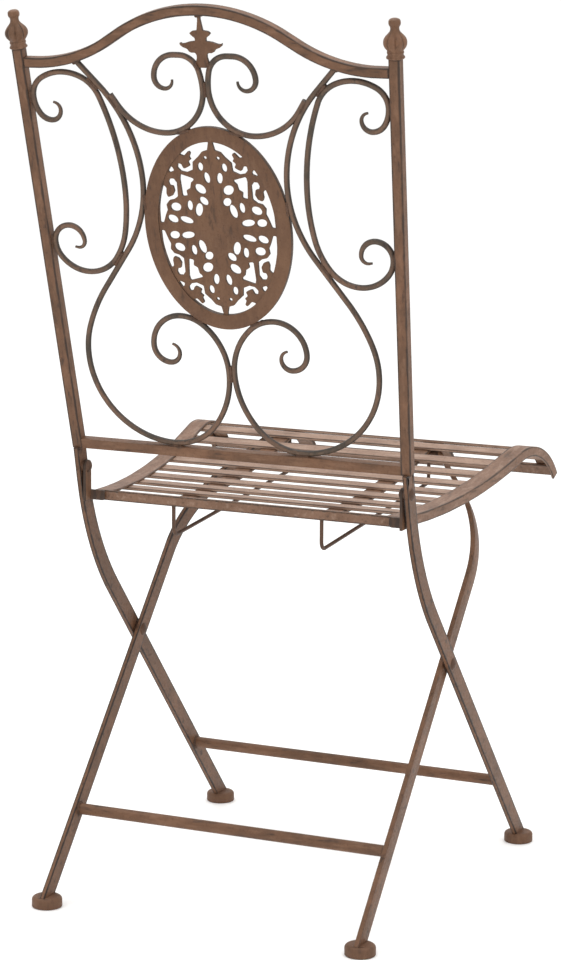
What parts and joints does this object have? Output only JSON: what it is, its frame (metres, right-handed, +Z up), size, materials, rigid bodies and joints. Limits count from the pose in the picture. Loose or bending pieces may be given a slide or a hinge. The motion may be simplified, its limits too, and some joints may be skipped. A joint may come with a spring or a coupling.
{
  "type": "folding garden chair",
  "caption": "Folding metal garden chair with a leaning scrollwork back, pierced oval medallion, slatted dished seat and scissor legs on round feet.",
  "frame": {"origin": "on the floor, under the middle of the chair's bounding box, in the open position", "axes": "+Z up, the sitter faces -Y and the back leans towards +Y, +X to the sitter's left"},
  "size_m": [0.4288, 0.4803, 0.9299],
  "materials": {
    "frame_paint": "satin antique brown paint on steel bar and square tube",
    "ornament_paint": "satin antique brown paint with darker patina on scrollwork",
    "seat_paint": "satin antique brown paint, rubbed paler on top",
    "fastener_paint": "satin brown paint over riveted steel",
    "foot_caps": "matt brown moulded cap"
  },
  "bodies": {
    "back_frame": {"crest_fleur": "ornament_paint", "front_stretcher": "frame_paint", "left_crest_scroll": "ornament_paint", "left_finial": "ornament_paint", "left_front_foot": "foot_caps", "left_front_leg": "frame_paint", "left_lyre_scroll": "ornament_paint", "left_side_scroll": "ornament_paint", "left_stile": "frame_paint", "lower_back_rail": "frame_paint", "oval_medallion": "ornament_paint", "pivot_washers": "fastener_paint", "right_crest_scroll": "ornament_paint", "right_finial": "ornament_paint", "right_front_foot": "foot_caps", "right_front_leg": "frame_paint", "right_lyre_scroll": "ornament_paint", "right_side_scroll": "ornament_paint", "right_stile": "frame_paint", "scissor_rivets": "fastener_paint", "seat_pivot_rivets": "fastener_paint", "top_rail": "frame_paint"},
    "rear_legs": {"left_rear_foot": "foot_caps", "left_rear_leg": "frame_paint", "left_slide_peg": "fastener_paint", "rear_stretcher": "frame_paint", "right_rear_foot": "foot_caps", "right_rear_leg": "frame_paint", "right_slide_peg": "fastener_paint"},
    "seat": {"front_seat_rail": "seat_paint", "left_guide_wire": "frame_paint", "left_hinge_bracket": "frame_paint", "left_seat_side_rail": "seat_paint", "left_under_strap": "frame_paint", "rear_seat_rail": "seat_paint", "right_guide_wire": "frame_paint", "right_hinge_bracket": "frame_paint", "right_seat_side_rail": "seat_paint", "right_under_strap": "frame_paint", "seat_slat_01": "seat_paint", "seat_slat_02": "seat_paint", "seat_slat_03": "seat_paint", "seat_slat_04": "seat_paint", "seat_slat_05": "seat_paint", "seat_slat_06": "seat_paint", "seat_slat_07": "seat_paint", "seat_slat_08": "seat_paint", "seat_slat_09": "seat_paint", "seat_slat_10": "seat_paint"}
  },
  "joints": [
    {"name": "seat_fold", "type": "hinge", "parent": "back_frame", "child": "seat", "pos_m": [0, 0.12959, 0.44898], "axis": [-1, 0, 0], "range_deg": [0, 99]},
    {"name": "leg_fold", "type": "hinge", "parent": "back_frame", "child": "rear_legs", "pos_m": [0, 0.0093, 0.25], "axis": [-1, 0, 0], "range_deg": [0, 60]}
  ],
  "couplings": [
    {"joint": "leg_fold", "follows": "seat_fold", "ratio": 0.60606}
  ]
}
